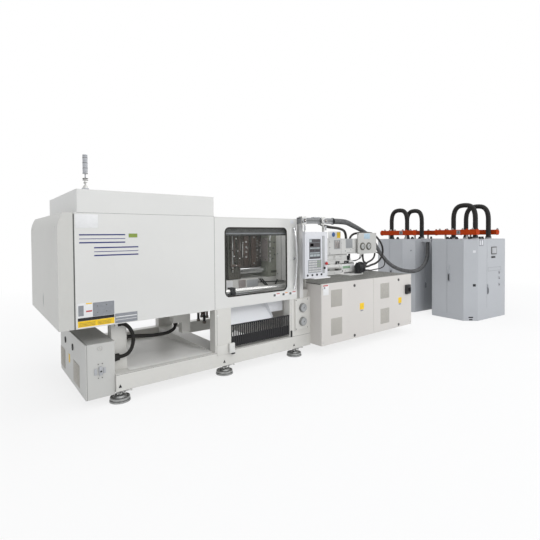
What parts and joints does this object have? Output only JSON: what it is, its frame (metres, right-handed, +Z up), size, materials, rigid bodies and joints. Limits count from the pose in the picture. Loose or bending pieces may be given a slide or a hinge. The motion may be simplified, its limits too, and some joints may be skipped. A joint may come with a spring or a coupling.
{
  "type": "injection moulding machine",
  "caption": "Horizontal injection moulding machine with a covered clamp unit, sliding safety gate, injection unit on a long bed, operator panel and two hosed control cabinets.",
  "frame": {"origin": "on the floor, under the middle of the whole installation's bounding box", "axes": "+X along the machine from the clamp end to the injection end, +Y away from the operator's side, +Z up"},
  "size_m": [8.0064, 2.436, 2.353],
  "materials": {
    "cream_paint": "satin",
    "cabinet_paint": "satin",
    "orange_paint": "satin",
    "platen_paint": "satin",
    "steel": "satin",
    "mould_steel": "satin",
    "chromed_steel": "polished",
    "foot_iron": "matte",
    "window_pane": "clear",
    "screen": "gloss",
    "black_plastic": "matte",
    "red_plastic": "gloss",
    "lamp_plastic": "gloss",
    "black_rubber": "matte",
    "grey_conduit": "matte",
    "grey_sheet": "satin"
  },
  "bodies": {
    "machine": {"clamp_base": "cream_paint", "levelling_feet": "foot_iron", "drip_tray": "cream_paint", "drop_chute": "grey_sheet", "drop_grille": "black_plastic", "pressure_gauges": "steel", "clamp_cover": "cream_paint", "end_cover": "cream_paint", "top_hood": "cream_paint", "signal_base": "steel", "fixed_platen": "platen_paint", "cylinder_platen": "platen_paint", "tie_bars": "chromed_steel", "tie_bar_nuts": "steel", "clamp_cylinder": "platen_paint", "mould_fixed_half": "mould_steel", "bed_housing": "cream_paint", "bed_panel_left": "cream_paint", "bed_panel_right": "cream_paint", "bed_grating": "grey_sheet", "guide_rails": "steel", "panel_bracket": "cream_paint", "electrical_box": "cream_paint", "cabinet_front": "cabinet_paint", "cabinet_rear": "cabinet_paint", "lifting_frames": "orange_paint", "cabinet_hoses": "black_rubber", "base_conduits": "black_rubber", "trunk_conduit": "grey_conduit"},
    "clamp": {"moving_platen": "platen_paint", "clamp_ram": "chromed_steel", "mould_moving_half": "mould_steel"},
    "ejector": {"ejector": "steel"},
    "gate": {"gate_panel": "cream_paint", "gate_window": "window_pane", "gate_handle": "chromed_steel"},
    "rear_gate": {"rear_gate": "cream_paint"},
    "signal": {"signal_lamp": "lamp_plastic"},
    "panel": {"panel_hanger": "steel", "control_panel": "cream_paint", "panel_screen": "screen"},
    "emergency_stop": {"emergency_stop": "red_plastic"},
    "selector": {"selector_switch": "black_plastic"},
    "main_switch": {"main_switch": "black_plastic"},
    "carriage": {"injection_carriage": "cream_paint", "barrel": "steel", "purge_guard": "cream_paint", "drive_box": "cream_paint", "drive_motors": "black_plastic", "injection_hoses": "black_rubber"},
    "injection": {"injection_ram": "chromed_steel"},
    "screw": {"injection_screw": "steel"},
    "button_1": {"panel_button_1": "black_plastic"},
    "button_2": {"panel_button_2": "black_plastic"},
    "button_3": {"panel_button_3": "black_plastic"},
    "button_4": {"panel_button_4": "black_plastic"},
    "front_cabinet_side_door": {"cabinet_front_side_door": "cabinet_paint"},
    "front_cabinet_front_door": {"cabinet_front_front_door": "cabinet_paint"},
    "rear_cabinet_side_door": {"cabinet_rear_side_door": "cabinet_paint"},
    "rear_cabinet_front_door": {"cabinet_rear_front_door": "cabinet_paint"}
  },
  "joints": [
    {"name": "clamp_slide", "type": "slide", "parent": "machine", "child": "clamp", "axis": [-1, 0, 0], "range_m": [0, 0.4]},
    {"name": "ejector_slide", "type": "slide", "parent": "clamp", "child": "ejector", "axis": [1, 0, 0], "range_m": [0, 0.08]},
    {"name": "gate_slide", "type": "slide", "parent": "machine", "child": "gate", "axis": [-1, 0, 0], "range_m": [0, 1]},
    {"name": "rear_gate_slide", "type": "slide", "parent": "machine", "child": "rear_gate", "axis": [-1, 0, 0], "range_m": [0, 1]},
    {"name": "signal_fold", "type": "hinge", "parent": "machine", "child": "signal", "pos_m": [-3.757, -0.52, 2.124], "axis": [0, 1, 0], "range_deg": [0, 90]},
    {"name": "panel_slide", "type": "slide", "parent": "machine", "child": "panel", "axis": [1, 0, 0], "range_m": [0, 0.15]},
    {"name": "emergency_stop_press", "type": "slide", "parent": "panel", "child": "emergency_stop", "axis": [0, 1, 0], "range_m": [0, 0.005]},
    {"name": "selector_turn", "type": "hinge", "parent": "panel", "child": "selector", "pos_m": [-0.89, -0.77, 1.164], "axis": [0, 1, 0], "range_deg": [-45, 45]},
    {"name": "main_switch_turn", "type": "hinge", "parent": "machine", "child": "main_switch", "pos_m": [1.011, -0.779, 0.71], "axis": [0, 1, 0], "range_deg": [0, 90]},
    {"name": "carriage_slide", "type": "slide", "parent": "machine", "child": "carriage", "axis": [-1, 0, 0], "range_m": [0, 0.2597]},
    {"name": "injection_slide", "type": "slide", "parent": "carriage", "child": "injection", "axis": [1, 0, 0], "range_m": [0, 0.12]},
    {"name": "screw_turn", "type": "hinge", "parent": "injection", "child": "screw", "pos_m": [0, 0.3175, 1.39], "axis": [1, 0, 0], "continuous": true},
    {"name": "button_1_press", "type": "slide", "parent": "panel", "child": "button_1", "axis": [0, 1, 0], "range_m": [0, 0.004], "stiffness_N_per_m": 300},
    {"name": "button_2_press", "type": "slide", "parent": "panel", "child": "button_2", "axis": [0, 1, 0], "range_m": [0, 0.004], "stiffness_N_per_m": 300},
    {"name": "button_3_press", "type": "slide", "parent": "panel", "child": "button_3", "axis": [0, 1, 0], "range_m": [0, 0.004], "stiffness_N_per_m": 300},
    {"name": "button_4_press", "type": "slide", "parent": "panel", "child": "button_4", "axis": [0, 1, 0], "range_m": [0, 0.004], "stiffness_N_per_m": 300},
    {"name": "front_cabinet_side_door_hinge", "type": "hinge", "parent": "machine", "child": "front_cabinet_side_door", "pos_m": [2.56857, -0.9363, 0.75], "axis": [0, 0, 1], "range_deg": [0, 110]},
    {"name": "front_cabinet_front_door_hinge", "type": "hinge", "parent": "machine", "child": "front_cabinet_front_door", "pos_m": [3.71437, -1.19515, 0.75], "axis": [0, 0, 1], "range_deg": [0, 110]},
    {"name": "rear_cabinet_side_door_hinge", "type": "hinge", "parent": "machine", "child": "rear_cabinet_side_door", "pos_m": [2.43857, 0.2417, 0.75], "axis": [0, 0, 1], "range_deg": [0, 110]},
    {"name": "rear_cabinet_front_door_hinge", "type": "hinge", "parent": "machine", "child": "rear_cabinet_front_door", "pos_m": [3.58437, -0.01715, 0.75], "axis": [0, 0, 1], "range_deg": [0, 17]}
  ]
}
